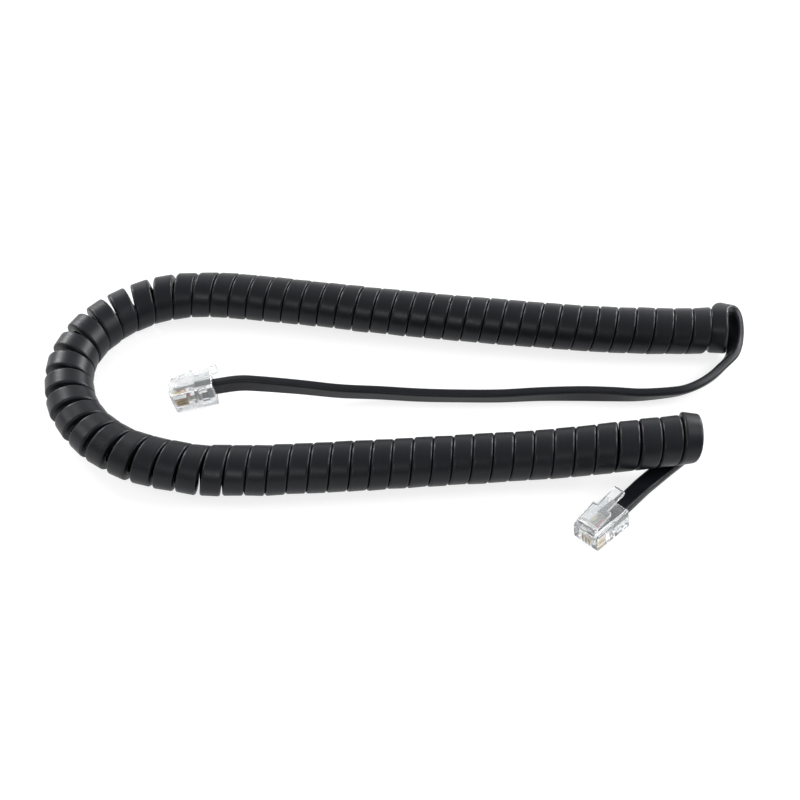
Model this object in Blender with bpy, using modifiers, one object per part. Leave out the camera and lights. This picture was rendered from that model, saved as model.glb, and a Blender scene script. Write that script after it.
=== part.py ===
"""Coiled flat 4-conductor cord with a clear 4-contact modular plug on each end.

The coiled stretch lies on its surface as a sideways U, open to the right.
A long tail comes back between the strands to plug A, which lies on its side.
A short tail runs forward under the lower strand to plug B, which lies flat.

Frame: origin under the middle of the bounding box, +X along the U (longest
extent), +Y to the rear, +Z up. Sizes below are millimetres, the model metres.
"""

import math

import bmesh
import bpy
from mathutils import Matrix, Vector

MM = 0.001

# ---------------------------------------------------------------- the cord
BAND_WIDTH = 4.7             # the flat cord, across its four conductors
BAND_THICK = 2.4
COIL_RADIUS = 6.4            # outside of the coiled stretch
FLOOR_GAP = 0.05             # keeps every face just above the surface
COIL_LIFT = 2.9              # end B of the coil rides over the short tail

COIL_Z = COIL_RADIUS + FLOOR_GAP
COIL_END_Z = COIL_Z + COIL_LIFT

# Axis of the coiled stretch, from its end B (front right) round to end A.
COIL_ROUTE = [
    (76.0, -15.9, COIL_END_Z), (66.6, -17.3, COIL_END_Z), (56.4, -18.4, COIL_Z + 2.4),
    (46.3, -18.9, COIL_Z + 1.2), (36.2, -19.3, COIL_Z + 0.3), (15.6, -20.7, COIL_Z),
    (-4.4, -22.2, COIL_Z), (-24.4, -23.5, COIL_Z), (-39.4, -24.1, COIL_Z),
    (-50.4, -23.8, COIL_Z), (-62.4, -21.2, COIL_Z), (-70.9, -17.6, COIL_Z),
    (-77.8, -12.6, COIL_Z), (-82.7, -7.1, COIL_Z), (-86.2, -0.7, COIL_Z),
    (-88.0, 6.5, COIL_Z), (-88.0, 13.6, COIL_Z), (-86.2, 20.2, COIL_Z),
    (-82.9, 26.0, COIL_Z), (-78.0, 31.2, COIL_Z), (-71.6, 35.5, COIL_Z),
    (-64.4, 38.1, COIL_Z), (-55.9, 39.1, COIL_Z), (-45.0, 38.5, COIL_Z),
    (-27.8, 36.2, COIL_Z), (-5.0, 32.7, COIL_Z), (17.4, 29.7, COIL_Z),
    (39.6, 27.1, COIL_Z), (56.2, 25.5, COIL_Z), (71.6, 24.8, COIL_Z),
    (83.9, 24.9, COIL_Z), (94.2, 25.5, COIL_Z),
]
# Middle of each tail, from its plug to the coil, and how far the flat cord is
# rolled up on its edge there, in degrees (0 lies flat, 90 stands on edge).
TAIL_A_ROUTE = [
    (-42.4, 5.5, 6.3, -87), (-37.3, 5.4, 6.2, -85), (-26.5, 5.2, 5.1, -80),
    (-15.6, 4.8, 3.9, -76), (-4.8, 5.0, 2.95, -74), (6.0, 4.5, 2.6, -73),
    (16.7, 4.2, 2.6, -71), (27.5, 4.2, 2.6, -72), (38.3, 4.8, 2.65, -76),
    (49.1, 5.0, 2.65, -83), (57.4, 4.8, 2.65, -80), (65.2, 4.6, 2.6, -69),
    (73.4, 5.5, 2.55, -60), (77.7, 6.6, 2.5, -57), (81.9, 8.7, 2.5, -62),
    (85.2, 11.1, 2.5, -68), (87.9, 13.7, 2.5, -72),
]
TAIL_B_ROUTE = [
    (60.2, -28.0, 2.5, -8), (62.4, -25.4, 1.75, -4), (64.9, -22.9, 1.35, 0),
    (68.4, -19.7, 1.3, 0), (71.6, -16.9, 1.3, 0), (74.5, -14.3, 1.3, 0),
]

# ---------------------------------------------------------------- the plugs
# Plug frame: x from the nose to the cable, y across, z from the contact face
# to the latch side.
PLUG_WIDTH = 7.65
PLUG_LENGTH = 11.7
REAR_HEIGHT = 5.7
NOSE_HEIGHT = 4.3
ROOT_HEIGHT = 6.8            # of the block that the latch grows from
ROOT_LENGTH = 1.7
ROOT_WIDTH = 5.7
NOSE_CHAMFER = 0.5

CABLE_Z = 3.05               # middle of the cord inside the plug
JACKET_FRONT = 6.9           # how far the jacket reaches into the plug
JACKET_CAVITY = (6.7, 5.45, 2.95)       # start along x, width, height
CONDUCTOR_CAVITY = (0.95, 4.5, 1.3)     # start along x, width, height

CONTACT_PITCH = 1.02
CONTACT_THICK = 0.36
CONTACT_SLOT = 0.62
CONTACT_X = (0.8, 4.1)
CONTACT_Z = (0.35, 2.38)
CONTACT_GAP = 0.12

CONDUCTOR_RADIUS = 0.44
CONDUCTOR_PITCH_JACKET = 1.1
CONDUCTOR_X = (1.15, JACKET_FRONT - 0.1)

JACKET_ANCHOR_X = (7.9, 9.9)
JACKET_ANCHOR_WIDTH = 4.4
JACKET_ANCHOR_Z = (0.7, 1.7)
CONDUCTOR_ANCHOR_X = (5.6, 6.45)
CONDUCTOR_ANCHOR_WIDTH = 4.2
CONDUCTOR_ANCHOR_Z = (0.7, 2.42)
ANCHOR_GAP = 0.12

LATCH_START = ROOT_LENGTH + 0.1
LATCH_SHOULDER = 6.4         # where the wide locking part ends
LATCH_TIP = 12.8
LATCH_SLOPE = math.radians(15.0)
LATCH_THICK = 0.85
LATCH_STEP = 0.3             # the locking part stands this much above the tab
LATCH_WIDTH = 5.7
TAB_WIDTH = 3.1
HINGE_Z = 5.9                # underside of the latch where it starts

# Plug poses: the middle of the nose's lower edge in x and y, and how the plug
# is yawed left, pitched cable end up and rolled about its own length, in degrees.
PLUG_A_NOSE = (-59.9, -0.1)
PLUG_A_TURNS = (9.0, 8.4, -86.0)
PLUG_B_NOSE = (46.1, -42.6)
PLUG_B_TURNS = (41.2, 1.2, -10.6)

COLOURS = {
    "jacket": ((0.030, 0.031, 0.033, 1.0), 0.42, 0.0),
    "clear": ((0.88, 0.92, 0.92, 0.35), 0.06, 0.0),
    "contact": ((0.83, 0.62, 0.26, 1.0), 0.25, 1.0),
    "conductor_black": ((0.02, 0.02, 0.02, 1.0), 0.4, 0.0),
    "conductor_red": ((0.70, 0.05, 0.05, 1.0), 0.4, 0.0),
    "conductor_green": ((0.05, 0.38, 0.12, 1.0), 0.4, 0.0),
    "conductor_yellow": ((0.85, 0.74, 0.25, 1.0), 0.4, 0.0),
}
CONDUCTOR_COLOURS = ("black", "red", "green", "yellow")


def clear_scene():
    """Start from an empty file."""
    for obj in list(bpy.data.objects):
        bpy.data.objects.remove(obj, do_unlink=True)


def make_collection(name):
    """A new collection in the scene."""
    collection = bpy.data.collections.new(name)
    bpy.context.scene.collection.children.link(collection)
    return collection


def make_material(name, colour_key):
    """A Principled material with the piece's colour, roughness and metallic value."""
    colour, roughness, metallic = COLOURS[colour_key]
    material = bpy.data.materials.new(name)
    material.use_nodes = True
    shader = material.node_tree.nodes["Principled BSDF"]
    shader.inputs["Base Color"].default_value = colour
    shader.inputs["Roughness"].default_value = roughness
    shader.inputs["Metallic"].default_value = metallic
    shader.inputs["Alpha"].default_value = colour[3]
    return material


def add_object(name, data, collection, parent=None, colour_key=None):
    """Link new object data under a name, a parent and a material."""
    obj = bpy.data.objects.new(name, data)
    collection.objects.link(obj)
    obj.parent = parent
    if colour_key:
        data.materials.append(make_material(name + "_material", colour_key))
    return obj


def add_cutter(name, data, collection, parent=None):
    """An object that only cuts or guides others."""
    cutter = add_object(name, data, collection, parent)
    cutter.hide_render = True
    cutter.display_type = "WIRE"
    return cutter


def cut(obj, cutter, operation="DIFFERENCE"):
    """Cut or join one object with another."""
    boolean = obj.modifiers.new(cutter.name, "BOOLEAN")
    boolean.operation = operation
    boolean.solver = "EXACT"
    boolean.object = cutter


# ---------------------------------------------------------------- shapes
def catmull_rom(p0, p1, p2, p3, t):
    """A point of the smooth curve between p1 and p2, at t from 0 to 1."""
    return 0.5 * (
        2 * p1
        + (p2 - p0) * t
        + (2 * p0 - 5 * p1 + 4 * p2 - p3) * t**2
        + (3 * p1 - p0 - 3 * p2 + p3) * t**3
    )


def smooth_route(route, spacing):
    """Evenly spaced points on a smooth curve through the route's points."""
    points = [Vector(p) for p in route]
    first = 2 * points[0] - points[1]
    last = 2 * points[-1] - points[-2]
    points = [first] + points + [last]
    fine = []
    steps = 24
    for i in range(1, len(points) - 2):
        for k in range(steps):
            fine.append(catmull_rom(*points[i - 1:i + 3], k / steps))
    fine.append(points[-2])
    lengths = [0.0]
    for a, b in zip(fine, fine[1:]):
        lengths.append(lengths[-1] + (b - a).xyz.length)
    count = max(2, round(lengths[-1] / spacing) + 1)
    even = []
    k = 0
    for i in range(count):
        target = lengths[-1] * i / (count - 1)
        while k < len(fine) - 2 and lengths[k + 1] < target:
            k += 1
        part = (target - lengths[k]) / max(lengths[k + 1] - lengths[k], 1e-9)
        even.append(fine[k].lerp(fine[k + 1], part))
    return even


def make_curve(name, points, tilts=None):
    """A 3D curve of one straight-sided spline through points in millimetres."""
    curve = bpy.data.curves.new(name, "CURVE")
    curve.dimensions = "3D"
    curve.use_fill_caps = True
    spline = curve.splines.new("POLY")
    spline.points.add(len(points) - 1)
    for i, point in enumerate(points):
        spline.points[i].co = (*(Vector(point[:3]) * MM), 1.0)
        if tilts:
            spline.points[i].tilt = math.radians(tilts[i])
    return curve


def make_tube(name, points, radius, resolution, collection, parent, colour_key):
    """A round tube along points."""
    curve = make_curve(name, points)
    curve.bevel_depth = radius * MM
    curve.bevel_resolution = resolution
    return add_object(name, curve, collection, parent, colour_key)


def band_profile(guides):
    """The flat cord's cross-section: a rectangle with round corners."""
    corner = 0.8
    steps = 3
    curve = bpy.data.curves.new("band_profile", "CURVE")
    curve.dimensions = "2D"
    curve.fill_mode = "NONE"
    spline = curve.splines.new("POLY")
    outline = []
    for quarter, (sx, sy) in enumerate([(1, 1), (-1, 1), (-1, -1), (1, -1)]):
        cx = sx * (BAND_WIDTH / 2 - corner)
        cy = sy * (BAND_THICK / 2 - corner)
        for k in range(steps):
            angle = math.pi / 2 * (quarter + k / (steps - 1))
            outline.append((cx + corner * math.cos(angle), cy + corner * math.sin(angle)))
    spline.points.add(len(outline) - 1)
    for point, (x, y) in zip(spline.points, reversed(outline)):
        point.co = (x * MM, y * MM, 0.0, 1.0)
    spline.use_cyclic_u = True
    return add_cutter("band_profile", curve, guides)


def make_band(name, route, spacing, profile, collection, colour_key):
    """The flat cord along a route whose fourth value is its roll in degrees."""
    points = smooth_route(route, spacing)
    curve = make_curve(name, points, [p[3] for p in points])
    curve.twist_mode = "Z_UP"
    curve.bevel_mode = "OBJECT"
    curve.bevel_object = profile
    return add_object(name, curve, collection, None, colour_key)


def prism_mesh(name, outline, half_width):
    """A side outline in x and z, extruded both ways across the plug, as a mesh."""
    curve = bpy.data.curves.new(name, "CURVE")
    curve.dimensions = "2D"
    curve.fill_mode = "BOTH"
    curve.extrude = half_width * MM
    spline = curve.splines.new("POLY")
    spline.points.add(len(outline) - 1)
    for point, (x, z) in zip(spline.points, outline):
        point.co = (x * MM, z * MM, 0.0, 1.0)
    spline.use_cyclic_u = True
    holder = bpy.data.objects.new(name, curve)
    bpy.context.scene.collection.objects.link(holder)
    evaluated = holder.evaluated_get(bpy.context.evaluated_depsgraph_get())
    mesh = bpy.data.meshes.new_from_object(evaluated)
    bpy.data.objects.remove(holder, do_unlink=True)
    work = bmesh.new()
    work.from_mesh(mesh)
    bmesh.ops.remove_doubles(work, verts=work.verts, dist=0.00001)
    bmesh.ops.transform(work, matrix=Matrix.Rotation(math.pi / 2, 4, "X"), verts=work.verts)
    bmesh.ops.recalc_face_normals(work, faces=work.faces)
    work.to_mesh(mesh)
    work.free()
    return mesh


def box_mesh(name, low, high):
    """A box between two corners in millimetres."""
    low, high = Vector(low) * MM, Vector(high) * MM
    mesh = bpy.data.meshes.new(name)
    work = bmesh.new()
    size = Matrix.Diagonal((*(high - low), 1.0))
    bmesh.ops.create_cube(work, size=1.0, matrix=Matrix.Translation((low + high) / 2) @ size)
    work.to_mesh(mesh)
    work.free()
    return mesh


def add_bevel(obj, width, segments=1):
    """Break an object's edges."""
    bevel = obj.modifiers.new("edges", "BEVEL")
    bevel.width = width * MM
    bevel.segments = segments
    bevel.limit_method = "ANGLE"
    bevel.angle_limit = math.radians(40)


# ---------------------------------------------------------------- the plug
def housing_outline():
    """The plug's side view without the latch."""
    return [
        (NOSE_CHAMFER, 0.0), (PLUG_LENGTH, 0.0), (PLUG_LENGTH, REAR_HEIGHT),
        (ROOT_LENGTH + 0.8, REAR_HEIGHT - 0.45), (0.75, REAR_HEIGHT - 0.45),
        (0.0, NOSE_HEIGHT), (0.0, NOSE_CHAMFER),
    ]


def root_outline():
    """The rounded block on the nose that the latch grows from."""
    return [
        (0.75, REAR_HEIGHT - 0.8), (ROOT_LENGTH, REAR_HEIGHT - 0.8),
        (ROOT_LENGTH, ROOT_HEIGHT + 0.05), (1.15, ROOT_HEIGHT),
        (0.7, ROOT_HEIGHT - 0.35), (0.4, ROOT_HEIGHT - 0.95), (0.3, NOSE_HEIGHT + 0.1),
    ]


def latch_line(x, above):
    """Height of a line that runs along the latch, above its underside."""
    return HINGE_Z + (x - LATCH_START) * math.tan(LATCH_SLOPE) + above


def make_housing(prefix, frame, collection, guides):
    """The clear housing, with its slots, anchor windows and cable passage."""
    name = prefix + "_housing"
    housing = add_object(
        name, prism_mesh(name, housing_outline(), PLUG_WIDTH / 2), collection, frame, "clear"
    )
    add_bevel(housing, 0.18)
    root = prism_mesh(prefix + "_root", root_outline(), ROOT_WIDTH / 2)
    cut(housing, add_cutter(prefix + "_root", root, guides, frame), "UNION")
    cavities = [("jacket_cavity", JACKET_CAVITY), ("conductor_cavity", CONDUCTOR_CAVITY)]
    for label, (start, width, height) in cavities:
        low = (start, -width / 2, CABLE_Z - height / 2)
        high = (PLUG_LENGTH + 0.5, width / 2, CABLE_Z + height / 2)
        mesh = box_mesh(label, low, high)
        cut(housing, add_cutter(f"{prefix}_{label}", mesh, guides, frame))
    windows = [
        ("jacket_window", JACKET_ANCHOR_X, JACKET_ANCHOR_WIDTH),
        ("conductor_window", CONDUCTOR_ANCHOR_X, CONDUCTOR_ANCHOR_WIDTH),
    ]
    for label, (x0, x1), width in windows:
        low = (x0 - ANCHOR_GAP, -width / 2 - ANCHOR_GAP, -0.5)
        high = (x1 + ANCHOR_GAP, width / 2 + ANCHOR_GAP, CABLE_Z)
        mesh = box_mesh(label, low, high)
        cut(housing, add_cutter(f"{prefix}_{label}", mesh, guides, frame))
    for i in range(4):
        y = contact_y(i)
        low = (CONTACT_X[0] - CONTACT_GAP, y - CONTACT_SLOT / 2, -0.5)
        high = (CONTACT_X[1] + CONTACT_GAP, y + CONTACT_SLOT / 2, CABLE_Z)
        mesh = box_mesh("contact_slot", low, high)
        cut(housing, add_cutter(f"{prefix}_slot_{i + 1}", mesh, guides, frame))


def contact_y(index):
    """Where a contact and its conductor lie across the plug."""
    return (index - 1.5) * CONTACT_PITCH


def make_contacts(prefix, frame, collection):
    """Four blades with two piercing points each."""
    x0, x1 = CONTACT_X
    z0, z1 = CONTACT_Z
    outline = [
        (x0 + 0.25, z0), (x1, z0), (x1, z1 - 0.6), (x1 - 0.35, z1), (x1 - 1.0, z1 - 0.6),
        (x0 + 1.3, z1 - 0.6), (x0 + 0.75, z1), (x0 + 0.3, z1 - 0.6), (x0, z0 + 0.5),
    ]
    mesh = prism_mesh(prefix + "_contact", outline, CONTACT_THICK / 2)
    mesh.materials.append(make_material(prefix + "_contact_material", "contact"))
    for i in range(4):
        contact = add_object(f"{prefix}_contact_{i + 1}", mesh, collection, frame)
        contact.location = (0.0, contact_y(i) * MM, 0.0)


def make_conductors(prefix, frame, collection):
    """Four insulated conductor ends, from the jacket to over the contacts."""
    x0, x1 = CONDUCTOR_X
    for i, colour in enumerate(CONDUCTOR_COLOURS):
        y_nose = contact_y(i)
        y_jacket = y_nose * CONDUCTOR_PITCH_JACKET / CONTACT_PITCH
        points = [
            (x0, y_nose, CABLE_Z), (CONTACT_X[1] + 0.4, y_nose, CABLE_Z),
            (x1 - 0.4, y_jacket, CABLE_Z), (x1, y_jacket, CABLE_Z),
        ]
        name = f"{prefix}_conductor_{i + 1}"
        make_tube(name, points, CONDUCTOR_RADIUS, 2, collection, frame, "conductor_" + colour)


def make_anchor(name, x_span, width, z_span, frame, collection):
    """A bar that is pressed through its window onto the cord."""
    (x0, x1), (z0, z1) = x_span, z_span
    outline = [
        (x0 + 0.15, z0), (x1 - 0.15, z0), (x1, z0 + 0.25),
        (x1, z1 - 0.15), (x1 - 0.2, z1), (x0 + 0.2, z1), (x0, z1 - 0.15), (x0, z0 + 0.25),
    ]
    add_object(name, prism_mesh(name, outline, width / 2), collection, frame, "clear")


def make_latch(prefix, frame, collection, guides):
    """The sprung locking tab: a wide root with two locking shoulders, then the tab."""
    hinge = bpy.data.objects.new(prefix + "_hinge", None)
    collection.objects.link(hinge)
    hinge.parent = frame
    hinge.location = (LATCH_START * MM, 0.0, HINGE_Z * MM)
    wide_end, tip, top = LATCH_SHOULDER, LATCH_TIP, LATCH_THICK
    outlines = {
        "latch": ([
            (LATCH_START, HINGE_Z), (tip, latch_line(tip, 0.0)),
            (tip, latch_line(tip, top)), (wide_end, latch_line(wide_end, top)),
            (LATCH_START, ROOT_HEIGHT + 0.05),
        ], TAB_WIDTH),
        "wide": ([
            (LATCH_START, HINGE_Z), (wide_end, latch_line(wide_end, 0.0)),
            (wide_end, latch_line(wide_end, top + LATCH_STEP)),
            (wide_end - 1.2, latch_line(wide_end - 1.2, top + 0.2)),
            (LATCH_START, ROOT_HEIGHT + 0.05),
        ], LATCH_WIDTH),
    }
    meshes = {}
    back = Matrix.Translation(-hinge.location)
    for label, (outline, width) in outlines.items():
        mesh = prism_mesh(f"{prefix}_{label}", outline, width / 2)
        mesh.transform(back)
        meshes[label] = mesh
    latch = add_object(prefix + "_latch", meshes["latch"], collection, hinge, "clear")
    cut(latch, add_cutter(prefix + "_latch_wide", meshes["wide"], guides, hinge), "UNION")


def make_plug(prefix, matrix, collection, guides):
    """All the pieces of one plug, in their frame."""
    frame = bpy.data.objects.new(prefix + "_frame", None)
    collection.objects.link(frame)
    frame.matrix_world = matrix
    make_housing(prefix, frame, collection, guides)
    make_latch(prefix, frame, collection, guides)
    make_anchor(prefix + "_jacket_anchor", JACKET_ANCHOR_X, JACKET_ANCHOR_WIDTH,
                JACKET_ANCHOR_Z, frame, collection)
    make_anchor(prefix + "_conductor_anchor", CONDUCTOR_ANCHOR_X, CONDUCTOR_ANCHOR_WIDTH,
                CONDUCTOR_ANCHOR_Z, frame, collection)
    make_contacts(prefix, frame, collection)
    make_conductors(prefix, frame, collection)
    return frame


def plug_matrix(nose, turns):
    """A plug's frame, with the lowest corner of its housing on the surface."""
    yaw, pitch, roll = (math.radians(turn) for turn in turns)
    matrix = Matrix.Rotation(yaw, 4, "Z") @ Matrix.Rotation(-pitch, 4, "Y")
    matrix = matrix @ Matrix.Rotation(roll, 4, "X")
    corners = [
        matrix @ Vector((x, y, z))
        for x in (0.0, PLUG_LENGTH)
        for y in (-PLUG_WIDTH / 2, PLUG_WIDTH / 2)
        for z in (0.0, NOSE_HEIGHT)
    ]
    lowest = min(corner.z for corner in corners)
    matrix.translation = Vector((*nose, FLOOR_GAP - lowest)) * MM
    return matrix


def cable_entry(matrix):
    """The straight run of a plug's cord, from inside the housing to its rear."""
    run = []
    for x in (JACKET_FRONT, PLUG_LENGTH - 1.5, PLUG_LENGTH + 0.8):
        run.append(tuple(matrix @ (Vector((x, 0.0, CABLE_Z)) * MM) / MM))
    return run


def main():
    """Build the whole cord."""
    clear_scene()
    parts = make_collection("coiled_cord")
    guides = make_collection("cutters_and_guides")
    profile = band_profile(guides)

    coil_points = smooth_route(COIL_ROUTE, 6.0)
    make_tube("coil", coil_points, COIL_RADIUS, 4, parts, None, "jacket")

    plugs = [
        ("plug_a", PLUG_A_NOSE, PLUG_A_TURNS, TAIL_A_ROUTE),
        ("plug_b", PLUG_B_NOSE, PLUG_B_TURNS, TAIL_B_ROUTE),
    ]
    for prefix, nose, turns, route in plugs:
        matrix = plug_matrix(nose, turns)
        make_plug(prefix, matrix, parts, guides)
        entry = [(*point, turns[2]) for point in cable_entry(matrix)]
        tail = "tail_" + prefix[-1] + "_jacket"
        make_band(tail, entry + route, 3.5, profile, parts, "jacket")
    bpy.context.view_layer.update()


main()
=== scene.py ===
"""Coiled flat cord with a clear 4-contact modular plug on each end: the looks."""

import math

import bmesh
import bpy
import numpy as np
from mathutils import Matrix, Vector


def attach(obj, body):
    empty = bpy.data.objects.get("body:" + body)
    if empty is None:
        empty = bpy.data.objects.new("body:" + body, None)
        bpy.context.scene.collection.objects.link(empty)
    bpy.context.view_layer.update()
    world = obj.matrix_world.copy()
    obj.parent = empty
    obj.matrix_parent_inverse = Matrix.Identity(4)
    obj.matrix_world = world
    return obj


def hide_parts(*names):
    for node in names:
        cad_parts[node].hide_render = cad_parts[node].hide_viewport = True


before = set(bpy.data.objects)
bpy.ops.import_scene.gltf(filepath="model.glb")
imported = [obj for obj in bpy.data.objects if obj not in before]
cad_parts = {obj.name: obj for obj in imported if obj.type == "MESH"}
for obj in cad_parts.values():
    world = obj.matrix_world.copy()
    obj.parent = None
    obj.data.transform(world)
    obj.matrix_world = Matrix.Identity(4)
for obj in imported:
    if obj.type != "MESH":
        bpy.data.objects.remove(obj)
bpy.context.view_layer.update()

MM = 0.001

# ---------------------------------------------------------------- the route
# Repeated from the CAD source, in millimetres.
BAND_WIDTH = 4.7
BAND_THICK = 2.4
COIL_RADIUS = 6.4
COIL_Z = COIL_RADIUS + 0.05
COIL_END_Z = COIL_Z + 2.9
COIL_ROUTE = [
    (76.0, -15.9, COIL_END_Z), (66.6, -17.3, COIL_END_Z), (56.4, -18.4, COIL_Z + 2.4),
    (46.3, -18.9, COIL_Z + 1.2), (36.2, -19.3, COIL_Z + 0.3), (15.6, -20.7, COIL_Z),
    (-4.4, -22.2, COIL_Z), (-24.4, -23.5, COIL_Z), (-39.4, -24.1, COIL_Z),
    (-50.4, -23.8, COIL_Z), (-62.4, -21.2, COIL_Z), (-70.9, -17.6, COIL_Z),
    (-77.8, -12.6, COIL_Z), (-82.7, -7.1, COIL_Z), (-86.2, -0.7, COIL_Z),
    (-88.0, 6.5, COIL_Z), (-88.0, 13.6, COIL_Z), (-86.2, 20.2, COIL_Z),
    (-82.9, 26.0, COIL_Z), (-78.0, 31.2, COIL_Z), (-71.6, 35.5, COIL_Z),
    (-64.4, 38.1, COIL_Z), (-55.9, 39.1, COIL_Z), (-45.0, 38.5, COIL_Z),
    (-27.8, 36.2, COIL_Z), (-5.0, 32.7, COIL_Z), (17.4, 29.7, COIL_Z),
    (39.6, 27.1, COIL_Z), (56.2, 25.5, COIL_Z), (71.6, 24.8, COIL_Z),
    (83.9, 24.9, COIL_Z), (94.2, 25.5, COIL_Z),
]
TAIL_A_ROUTE = [
    (-42.4, 5.5, 6.3, -87), (-37.3, 5.4, 6.2, -85), (-26.5, 5.2, 5.1, -80),
    (-15.6, 4.8, 3.9, -76), (-4.8, 5.0, 2.95, -74), (6.0, 4.5, 2.6, -73),
    (16.7, 4.2, 2.6, -71), (27.5, 4.2, 2.6, -72), (38.3, 4.8, 2.65, -76),
    (49.1, 5.0, 2.65, -83), (57.4, 4.8, 2.65, -80), (65.2, 4.6, 2.6, -69),
    (73.4, 5.5, 2.55, -60), (77.7, 6.6, 2.5, -57), (81.9, 8.7, 2.5, -62),
    (85.2, 11.1, 2.5, -68), (87.9, 13.7, 2.5, -72),
]
TAIL_B_ROUTE = [
    (60.2, -28.0, 2.5, -8), (62.4, -25.4, 1.75, -4), (64.9, -22.9, 1.35, 0),
    (68.4, -19.7, 1.3, 0), (71.6, -16.9, 1.3, 0), (74.5, -14.3, 1.3, 0),
]
# Plug frames: x from the nose to the cable, y across, z from the contact face
# to the latch side. Yaw, pitch and roll in degrees.
PLUG_WIDTH = 7.65
PLUG_LENGTH = 11.7
NOSE_HEIGHT = 4.3
CABLE_Z = 3.05
JACKET_FRONT = 6.9
PLUG_A_NOSE = (-59.9, -0.1)
PLUG_A_TURNS = (9.0, 8.4, -86.0)
PLUG_B_NOSE = (46.1, -42.6)
PLUG_B_TURNS = (41.2, 1.2, -10.6)

# Where the flat cord leaves the regular turns: its middle, the way its outer
# face looks, from the coil to the tail.
LOOP_A = [
    ((88.5, 25.2, 1.35), (0.05, 0.0, -1.0)),
    ((88.8, 21.4, 2.8), (-0.05, -0.73, -0.69)),
    ((88.2, 20.0, 6.5), (-0.36, -0.93, -0.03)),
    ((88.0, 21.5, 10.4), (-0.34, -0.65, 0.68)),
    ((88.2, 24.8, 12.1), (-0.14, 0.03, 1.0)),
    ((89.0, 27.6, 11.7), (0.0, 0.45, 0.89)),
    ((90.7, 29.5, 10.8), (0.35, 0.70, 0.62)),
    ((92.5, 29.9, 9.6), (0.74, 0.64, 0.15)),
    ((93.65, 28.6, 8.1), (0.84, 0.50, -0.20)),
    ((93.95, 26.2, 6.4), (0.81, 0.42, -0.42)),
    ((93.8, 23.6, 4.9), (0.84, 0.25, -0.48)),
    ((93.25, 20.8, 3.7), (0.87, -0.10, -0.47)),
    ((91.9, 18.0, 2.8), (0.81, -0.43, -0.39)),
]
LOOP_B = [
    ((75.9, -11.9, 3.4), (0.1, 0.70, -0.75)),
    ((75.3, -13.2, 1.7), (0.1, 0.20, -0.97)),
]

# ---------------------------------------------------------------- the coil
TURN_AT_B = -29.72           # turns counted from the bend to end B
ANGLE_AT_ZERO = 229.0
COIL_LAST = 38.95            # turns counted from the bend to end A
COIL_STOP_X = 85.4           # where the regular turns end, beside the hook at end A
RINGS_PER_TURN = 40
END_TURN_RISE = 0.3          # the last turn at end B is wider and leans out, in degrees
END_TURN_LEAN = 17.0
END_TURN_SPREAD = 0.38       # how far back that reaches, in turns
EDGE_ROUNDING = 0.00011      # of the moulded plugs, in metres

CAMERA_TARGET = (0.6, 5.0, 0.0)
CAMERA_ELEVATION = 49.0
CAMERA_DISTANCE = 337.0
CAMERA_LENS = 55.94


# ---------------------------------------------------------------- curves
def spline_points(keys, steps):
    """Points of a Catmull-Rom curve through rows of numbers, with its parameter."""
    keys = np.asarray(keys, float)
    padded = np.vstack([2 * keys[0] - keys[1], keys, 2 * keys[-1] - keys[-2]])
    out = []
    for i in range(1, len(padded) - 2):
        p0, p1, p2, p3 = padded[i - 1:i + 3]
        for t in np.arange(steps) / steps:
            out.append(0.5 * (
                2 * p1 + (p2 - p0) * t + (2 * p0 - 5 * p1 + 4 * p2 - p3) * t**2
                + (3 * p1 - p0 - 3 * p2 + p3) * t**3
            ))
    out.append(keys[-1])
    return np.array(out)


def lengths_along(points):
    """Distance along a line to each of its points."""
    steps = np.linalg.norm(np.diff(points, axis=0), axis=1)
    return np.concatenate([[0.0], np.cumsum(steps)])


def unit(v):
    """Vectors of length one."""
    return v / np.linalg.norm(v, axis=-1, keepdims=True)


def smooth(values, reach):
    """A moving average over 2 * reach + 1 values."""
    kernel = np.ones(2 * reach + 1) / (2 * reach + 1)
    return np.convolve(np.pad(values, reach, mode="edge"), kernel, mode="valid")


def interp_rows(x, xs, rows):
    """Rows of numbers read at x."""
    return np.stack([np.interp(x, xs, rows[:, k]) for k in range(rows.shape[1])], axis=1)


def plug_matrix(nose, turns):
    """A plug's frame in millimetres, as the CAD source has it."""
    yaw, pitch, roll = (math.radians(turn) for turn in turns)
    matrix = Matrix.Rotation(yaw, 4, "Z") @ Matrix.Rotation(-pitch, 4, "Y")
    matrix = matrix @ Matrix.Rotation(roll, 4, "X")
    corners = [
        matrix @ Vector((x, y, z))
        for x in (0.0, PLUG_LENGTH)
        for y in (-PLUG_WIDTH / 2, PLUG_WIDTH / 2)
        for z in (0.0, NOSE_HEIGHT)
    ]
    lowest = min(corner.z for corner in corners)
    matrix.translation = Vector((*nose, 0.05 - lowest))
    return matrix


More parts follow.
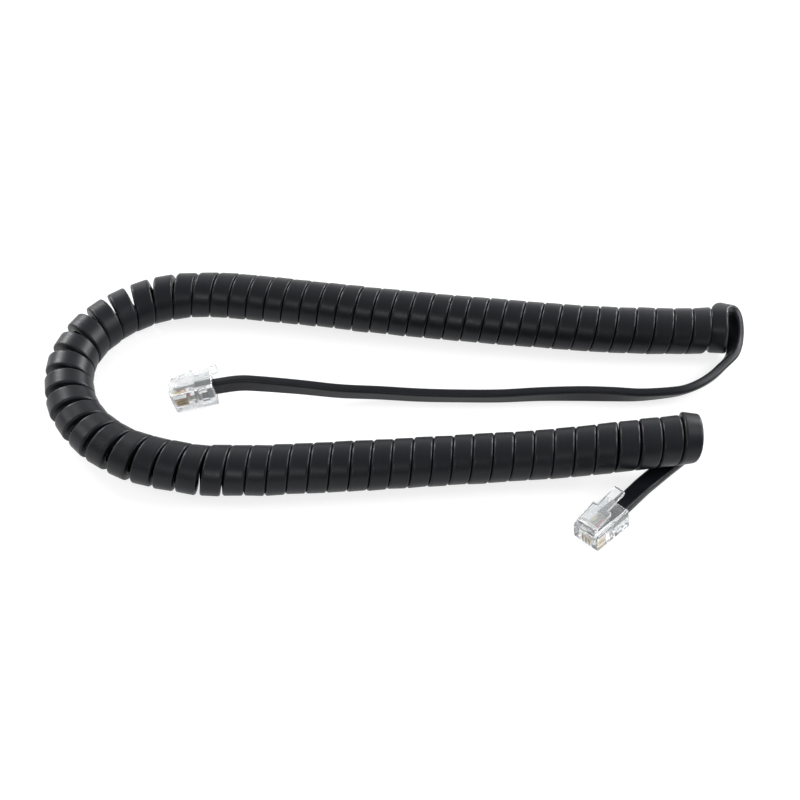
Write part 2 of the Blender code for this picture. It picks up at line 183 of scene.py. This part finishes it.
def coil_path(rng):
    """The coiled stretch from end B to end A: middle line and outward directions."""
    axis = spline_points(COIL_ROUTE, 60)
    s = lengths_along(axis)
    tangent = unit(np.gradient(axis, s, axis=0))
    bend = np.linalg.norm(np.gradient(tangent, s, axis=0), axis=1)
    bend = smooth(bend, 40)
    # the turns touch on the inner side of a bend, so they are even along that side
    inner = 1 - bend * COIL_RADIUS
    wound = np.concatenate([[0.0], np.cumsum((inner[1:] + inner[:-1]) / 2 * np.diff(s))])
    stop = np.interp(COIL_STOP_X, axis[-len(axis) // 4:, 0], wound[-len(axis) // 4:])
    turns = TURN_AT_B + (COIL_LAST - TURN_AT_B) * wound / stop
    first, last = turns[0], COIL_LAST
    count = int(round((last - first) * RINGS_PER_TURN)) + 1
    n = np.linspace(first, last, count)
    at = np.interp(n, turns, s)
    middle = interp_rows(at, s, axis)
    along = unit(interp_rows(at, s, tangent))
    up = np.array([0.0, 0.0, 1.0]) - along * along[:, 2:3]
    up = unit(up)
    side = np.cross(along, up)
    wander = rng.normal(size=(4, int(last - first) * 2 + 8))
    knots = np.linspace(first - 1, last + 1, wander.shape[1])
    radial, shift, phase, lean = (np.interp(n, knots, w) for w in wander)
    angle = np.radians(ANGLE_AT_ZERO - 360.0 * n + 1.2 * phase)
    radius = COIL_RADIUS - BAND_THICK / 2 + 0.07 * radial
    outward = up * np.cos(angle)[:, None] + side * np.sin(angle)[:, None]
    rolled = np.exp(-(((n - first) / END_TURN_SPREAD) ** 2))      # the last turn at end B leans out
    radius = radius + END_TURN_RISE * rolled
    tilt = np.radians(1.6 * lean - END_TURN_LEAN * rolled)[:, None]
    points = middle + outward * radius[:, None] + along * (0.04 * shift)[:, None]
    tilted = outward * np.cos(tilt) + along * np.sin(tilt)
    return points, tilted


def tail_keys(matrix, roll, route):
    """Points and outward directions of a tail, from its plug to the coil."""
    keys = []
    for x in (JACKET_FRONT, PLUG_LENGTH - 1.5, PLUG_LENGTH + 0.8):
        keys.append((*(matrix @ Vector((x, 0.0, CABLE_Z))), roll))
    keys += list(route)
    points = np.array([k[:3] for k in keys], float)
    tangent = unit(np.gradient(points, axis=0))
    out = []
    for point, along, key in zip(points, tangent, keys):
        level = unit(np.cross((0.0, 0.0, 1.0), along))
        normal = np.cross(along, level)
        angle = math.radians(key[3])
        # the face that the coil has outside is the tail's lower face
        out.append((point, -(normal * math.cos(angle) - level * math.sin(angle))))
    return out


def cord_path():
    """The whole cord from plug A to plug B: middle line and outer-face directions."""
    rng = np.random.default_rng(7)
    coil, outward = coil_path(rng)
    coil, outward = coil[::-1], outward[::-1]          # now from end A to end B
    plug_a = plug_matrix(PLUG_A_NOSE, PLUG_A_TURNS)
    plug_b = plug_matrix(PLUG_B_NOSE, PLUG_B_TURNS)
    step = RINGS_PER_TURN // 8

    start = tail_keys(plug_a, PLUG_A_TURNS[2], TAIL_A_ROUTE)
    start += [(np.array(p), np.array(n)) for p, n in reversed(LOOP_A)]
    start += [(coil[k * step], outward[k * step]) for k in range(3)]
    end = [(coil[-1 - k * step], outward[-1 - k * step]) for k in (2, 1, 0)]
    end += [(np.array(p), np.array(n)) for p, n in LOOP_B]
    end += list(reversed(tail_keys(plug_b, PLUG_B_TURNS[2], TAIL_B_ROUTE)))

    parts = []
    for keys in (start, end):
        rows = np.array([[*p, *(n / np.linalg.norm(n))] for p, n in keys])
        fine = spline_points(rows, 24)
        s = lengths_along(fine[:, :3])
        parts.append(interp_rows(np.linspace(0, s[-1], int(s[-1] / 0.8)), s, fine))
    tail_a, tail_b = parts
    coil_rows = np.hstack([coil, outward])
    cut_a = np.linalg.norm(tail_a[:, :3] - coil[0], axis=1).argmin()
    cut_b = np.linalg.norm(tail_b[:, :3] - coil[-1], axis=1).argmin() + 1
    rows = np.vstack([tail_a[:cut_a], coil_rows, tail_b[cut_b:]])
    coiled = np.zeros(len(rows))
    coiled[cut_a - 30:cut_a + len(coil_rows)] = 1.0
    coiled = smooth(smooth(coiled, 6), 6)
    points = rows[:, :3]
    along = unit(np.gradient(points, axis=0))
    normal = rows[:, 3:]
    normal = unit(normal - along * np.sum(normal * along, axis=1, keepdims=True))
    width = np.cross(normal, along)
    return points, along, width, normal, coiled


# ---------------------------------------------------------------- materials
def new_material(name):
    """A node material with its Principled shader."""
    material = bpy.data.materials.new(name)
    material.use_nodes = True
    nodes = material.node_tree.nodes
    return material, nodes, material.node_tree.links, nodes["Principled BSDF"]


def add_node(nodes, kind, **values):
    """A node with its properties and its inputs' values set."""
    node = nodes.new(kind)
    for key, value in values.items():
        if hasattr(node, key) and key not in node.inputs:
            setattr(node, key, value)
        else:
            node.inputs[key.replace("_", " ")].default_value = value
    return node


def ramp(nodes, links, source, stops):
    """A colour ramp on a value."""
    node = nodes.new("ShaderNodeValToRGB")
    links.new(source, node.inputs["Fac"])
    elements = node.color_ramp.elements
    while len(elements) < len(stops):
        elements.new(0.5)
    for element, (position, colour) in zip(elements, stops):
        element.position = position
        if not hasattr(colour, "__len__"):
            colour = (colour, colour, colour)
        element.color = (*colour, 1.0)
    return node.outputs["Color"]


def jacket_material():
    """Satin charcoal PVC with a fine grain, drawn slightly along the cord."""
    material, nodes, links, shader = new_material("cord_pvc")
    place = add_node(nodes, "ShaderNodeTexCoord")
    cord = add_node(nodes, "ShaderNodeAttribute", attribute_name="cord_place")
    streaks = add_node(nodes, "ShaderNodeTexNoise", Scale=1.0, Detail=3.0, Roughness=0.6)
    stretch = add_node(nodes, "ShaderNodeMapping")
    stretch.inputs["Scale"].default_value = (90.0, 2600.0, 2600.0)
    links.new(cord.outputs["Vector"], stretch.inputs["Vector"])
    links.new(stretch.outputs["Vector"], streaks.inputs["Vector"])
    cloud = add_node(nodes, "ShaderNodeTexNoise", Scale=120.0, Detail=4.0, Roughness=0.6)
    links.new(place.outputs["Object"], cloud.inputs["Vector"])
    grain = add_node(nodes, "ShaderNodeTexNoise", Scale=5200.0, Detail=2.0)
    links.new(place.outputs["Object"], grain.inputs["Vector"])
    links.new(
        ramp(nodes, links, cloud.outputs["Fac"], [
            (0.3, (0.0038, 0.0042, 0.0060)), (0.7, (0.0055, 0.0060, 0.0082)),
        ]),
        shader.inputs["Base Color"],
    )
    links.new(
        ramp(nodes, links, streaks.outputs["Fac"], [(0.3, 0.34), (0.7, 0.44)]),
        shader.inputs["Roughness"],
    )
    mix = add_node(nodes, "ShaderNodeMath", operation="MULTIPLY_ADD")
    links.new(streaks.outputs["Fac"], mix.inputs[0])
    mix.inputs[1].default_value = 0.5
    links.new(grain.outputs["Fac"], mix.inputs[2])
    bump = add_node(nodes, "ShaderNodeBump", Strength=0.12, Distance=0.0001)
    links.new(mix.outputs[0], bump.inputs["Height"])
    links.new(bump.outputs["Normal"], shader.inputs["Normal"])
    shader.inputs["IOR"].default_value = 1.5
    shader.inputs["Specular IOR Level"].default_value = 0.23
    shader.inputs["Specular Tint"].default_value = (0.95, 0.96, 1.0, 1.0)
    return material


def clear_material():
    """Clear moulded polycarbonate."""
    material, nodes, links, shader = new_material("clear_polycarbonate")
    place = add_node(nodes, "ShaderNodeTexCoord")
    flow = add_node(nodes, "ShaderNodeTexNoise", Scale=260.0, Detail=2.0)
    links.new(place.outputs["Object"], flow.inputs["Vector"])
    links.new(
        ramp(nodes, links, flow.outputs["Fac"], [(0.3, 0.06), (0.75, 0.13)]),
        shader.inputs["Roughness"],
    )
    links.new(
        ramp(nodes, links, flow.outputs["Fac"], [
            (0.3, (0.88, 0.905, 0.92)), (0.7, (0.94, 0.955, 0.965)),
        ]),
        shader.inputs["Base Color"],
    )
    bump = add_node(nodes, "ShaderNodeBump", Strength=0.05, Distance=0.0002)
    links.new(flow.outputs["Fac"], bump.inputs["Height"])
    links.new(bump.outputs["Normal"], shader.inputs["Normal"])
    shader.inputs["Transmission Weight"].default_value = 0.92
    shader.inputs["IOR"].default_value = 1.46
    return material


def tinted_material(name, low, high, roughness, metallic=0.0, scale=900.0):
    """A finish whose colour and roughness wander between two values."""
    material, nodes, links, shader = new_material(name)
    place = add_node(nodes, "ShaderNodeTexCoord")
    cloud = add_node(nodes, "ShaderNodeTexNoise", Scale=scale, Detail=3.0)
    links.new(place.outputs["Object"], cloud.inputs["Vector"])
    links.new(
        ramp(nodes, links, cloud.outputs["Fac"], [(0.3, low), (0.7, high)]),
        shader.inputs["Base Color"],
    )
    links.new(
        ramp(nodes, links, cloud.outputs["Fac"], [(0.3, roughness), (0.7, roughness + 0.12)]),
        shader.inputs["Roughness"],
    )
    shader.inputs["Metallic"].default_value = metallic
    return material


# ---------------------------------------------------------------- pieces
def band_outline(width, thick, corner):
    """The flat cord's section as (across, outward) points, counter-clockwise."""
    segments = 7
    half_w, half_t = width / 2 - corner, thick / 2 - corner
    outline = []
    for quarter, (sx, sy) in enumerate([(1, 1), (-1, 1), (-1, -1), (1, -1)]):
        for k in range(segments + 1):
            angle = math.pi / 2 * (quarter + k / segments)
            outline.append((
                sx * half_w + corner * math.cos(angle), sy * half_t + corner * math.sin(angle)
            ))
        if quarter in (0, 2):
            outline += [(sx * half_w * 0.9, sy * (half_t + corner)),
                        (-sx * half_w * 0.9, sy * (half_t + corner))]
    return np.array(outline)


def make_cord(material):
    """The whole flat cord as one swept band."""
    points, along, width, normal, coiled = cord_path()
    loose = band_outline(BAND_WIDTH + 0.1, BAND_THICK, 0.8)
    wound = band_outline(BAND_WIDTH, BAND_THICK, 0.66)
    rings, sides = len(points), len(loose)
    outline = loose + (wound - loose) * coiled[:, None, None]
    # neighbouring turns nearly touch: each side of the wound cord fills half the gap beside it
    step = RINGS_PER_TURN
    apart = np.einsum("ij,ij->i", points[step:] - points[:-step], width[step:])
    gap = np.clip(np.abs(apart) - BAND_WIDTH - 0.06, -0.1, 0.5) / 2
    facing = np.sign(np.median(apart))
    nearer, farther = np.zeros(rings), np.zeros(rings)
    nearer[:-step] = gap
    farther[step:] = gap
    sides_out = np.stack([smooth(nearer * coiled, 4), smooth(farther * coiled, 4)], axis=1)
    upper_side = outline[:, :, 0] * facing > 0
    outline[:, :, 0] += np.where(
        upper_side, facing * sides_out[:, 0:1], -facing * sides_out[:, 1:2]
    )
    vertices = (
        points[:, None, :]
        + width[:, None, :] * outline[:, :, 0:1]
        + normal[:, None, :] * outline[:, :, 1:2]
    ).reshape(-1, 3) * MM
    ring = np.arange(rings - 1)[:, None] * sides
    side = np.arange(sides)[None, :]
    after = (side + 1) % sides
    quads = np.stack([
        ring + side, ring + after, ring + sides + after, ring + sides + side
    ], axis=-1).reshape(-1, 4)
    mesh = bpy.data.meshes.new("coiled_cord")
    faces = [tuple(q) for q in quads.tolist()]
    faces.append(tuple(range(sides))[::-1])
    faces.append(tuple((rings - 1) * sides + k for k in range(sides)))
    mesh.from_pydata(vertices.tolist(), [], faces)
    s = lengths_along(points)
    place = np.stack([
        np.repeat(s, sides), outline[:, :, 0].ravel(), outline[:, :, 1].ravel()
    ], axis=1) * MM
    attribute = mesh.attributes.new("cord_place", "FLOAT_VECTOR", "POINT")
    attribute.data.foreach_set("vector", place.astype(np.float32).ravel())
    mesh.update()
    work = bmesh.new()
    work.from_mesh(mesh)
    bmesh.ops.recalc_face_normals(work, faces=work.faces)
    work.to_mesh(mesh)
    work.free()
    mesh.shade_smooth()
    mesh.materials.append(material)
    cord = bpy.data.objects.new("coiled_cord", mesh)
    bpy.context.scene.collection.objects.link(cord)
    return cord, points * MM


def finish_nodes():
    """Gives the plugs' CAD nodes their materials."""
    clear = clear_material()
    gold = tinted_material("contact_gold", (0.74, 0.52, 0.22), (0.88, 0.68, 0.36), 0.16, 1.0)
    insulation = {
        "black": ((0.03, 0.02, 0.02), (0.05, 0.035, 0.035)),
        "red": ((0.62, 0.09, 0.12), (0.75, 0.15, 0.17)),
        "green": ((0.34, 0.45, 0.36), (0.44, 0.54, 0.45)),
        "yellow": ((0.82, 0.74, 0.42), (0.92, 0.84, 0.55)),
    }
    wires = {
        f"conductor_{place}": tinted_material(f"insulation_{colour}", low, high, 0.35)
        for place, (colour, (low, high)) in enumerate(insulation.items(), 1)
    }
    for name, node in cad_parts.items():
        if not name.startswith("plug"):
            continue
        label = name[7:]
        if label.startswith("contact"):
            material = gold
        elif label in wires:
            material = wires[label]
        else:
            material = clear
            rounding = node.modifiers.new("moulded_edges", "BEVEL")
            rounding.width = EDGE_ROUNDING
            rounding.segments = 2
            rounding.limit_method = "ANGLE"
            rounding.angle_limit = math.radians(40)
        node.data.materials.clear()
        node.data.materials.append(material)


# ---------------------------------------------------------------- the studio
def add_area(name, place, target, size, energy, colour=(1.0, 1.0, 1.0)):
    """A soft box, in metres, that looks at a point."""
    light = bpy.data.lights.new(name, "AREA")
    light.shape = "RECTANGLE"
    light.size, light.size_y = size
    light.energy = energy
    light.color = colour
    obj = bpy.data.objects.new(name, light)
    bpy.context.scene.collection.objects.link(obj)
    obj.location = place
    look = Vector(target) - Vector(place)
    obj.rotation_euler = look.to_track_quat("-Z", "Y").to_euler()
    return obj


def make_studio():
    """Floor, soft boxes, pale surroundings and the camera."""
    bpy.ops.mesh.primitive_plane_add(size=6.0, location=(0.0, 0.0, 0.0))
    floor = bpy.context.active_object
    floor.name = "floor"
    material, nodes, links, shader = new_material("floor_paper")
    shader.inputs["Base Color"].default_value = (0.30, 0.30, 0.30, 1.0)
    shader.inputs["Roughness"].default_value = 0.9
    shader.inputs["Emission Color"].default_value = (1.0, 1.0, 1.0, 1.0)
    shader.inputs["Emission Strength"].default_value = 0.77
    shader.inputs["Specular IOR Level"].default_value = 0.1
    floor.data.materials.append(material)

    world = bpy.data.worlds.new("studio")
    world.use_nodes = True
    bpy.context.scene.world = world
    nodes, links = world.node_tree.nodes, world.node_tree.links
    background = nodes["Background"]
    place = nodes.new("ShaderNodeTexCoord")
    split = nodes.new("ShaderNodeSeparateXYZ")
    links.new(place.outputs["Generated"], split.inputs["Vector"])
    half = nodes.new("ShaderNodeMath")
    half.operation = "MULTIPLY_ADD"
    links.new(split.outputs["Y"], half.inputs[0])
    half.inputs[1].default_value = 0.5
    half.inputs[2].default_value = 0.5
    # dim on the camera's side, bright at the rear
    links.new(
        ramp(nodes, links, half.outputs[0], [
            (0.0, 0.10), (0.07, 0.22), (0.17, 0.31), (0.48, 0.46), (0.82, 0.60), (0.98, 0.95),
        ]),
        background.inputs["Color"],
    )
    background.inputs["Strength"].default_value = 1.4

    add_area("rear_left", (-0.85, 0.90, 0.62), (0.0, 0.0, 0.0), (0.45, 0.45), 14.0)
    add_area("rear_right", (0.90, 0.86, 0.45), (0.0, 0.0, 0.0), (0.45, 0.40), 13.0)
    add_area("right", (1.15, 0.10, 0.70), (0.0, 0.0, 0.0), (0.5, 0.7), 14.0)
    add_area("left", (-1.20, 0.05, 0.70), (0.0, 0.0, 0.0), (0.4, 0.6), 4.5)
    add_area("front", (-0.25, -1.05, 0.76), (0.0, 0.0, 0.0), (0.30, 0.20), 3.5)

    camera_data = bpy.data.cameras.new("camera")
    camera_data.lens = CAMERA_LENS
    camera_data.sensor_width = 36.0
    camera_data.clip_start = 0.01
    camera = bpy.data.objects.new("camera", camera_data)
    bpy.context.scene.collection.objects.link(camera)
    elevation = math.radians(CAMERA_ELEVATION)
    back = Vector((0.0, -math.cos(elevation), math.sin(elevation)))
    target = Vector(CAMERA_TARGET)
    camera.location = (target + back * CAMERA_DISTANCE) * MM
    camera.rotation_euler = (-back).to_track_quat("-Z", "Y").to_euler()
    bpy.context.scene.camera = camera
    bpy.context.scene.view_settings.view_transform = "Standard"


make_studio()
cord, cord_line = make_cord(jacket_material())
finish_nodes()
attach(cord, "cord")
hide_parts("coil", "tail_a_jacket", "tail_b_jacket")
plug_a_exit = plug_matrix(PLUG_A_NOSE, PLUG_A_TURNS) @ Vector((PLUG_LENGTH, 0.0, CABLE_Z)) * MM
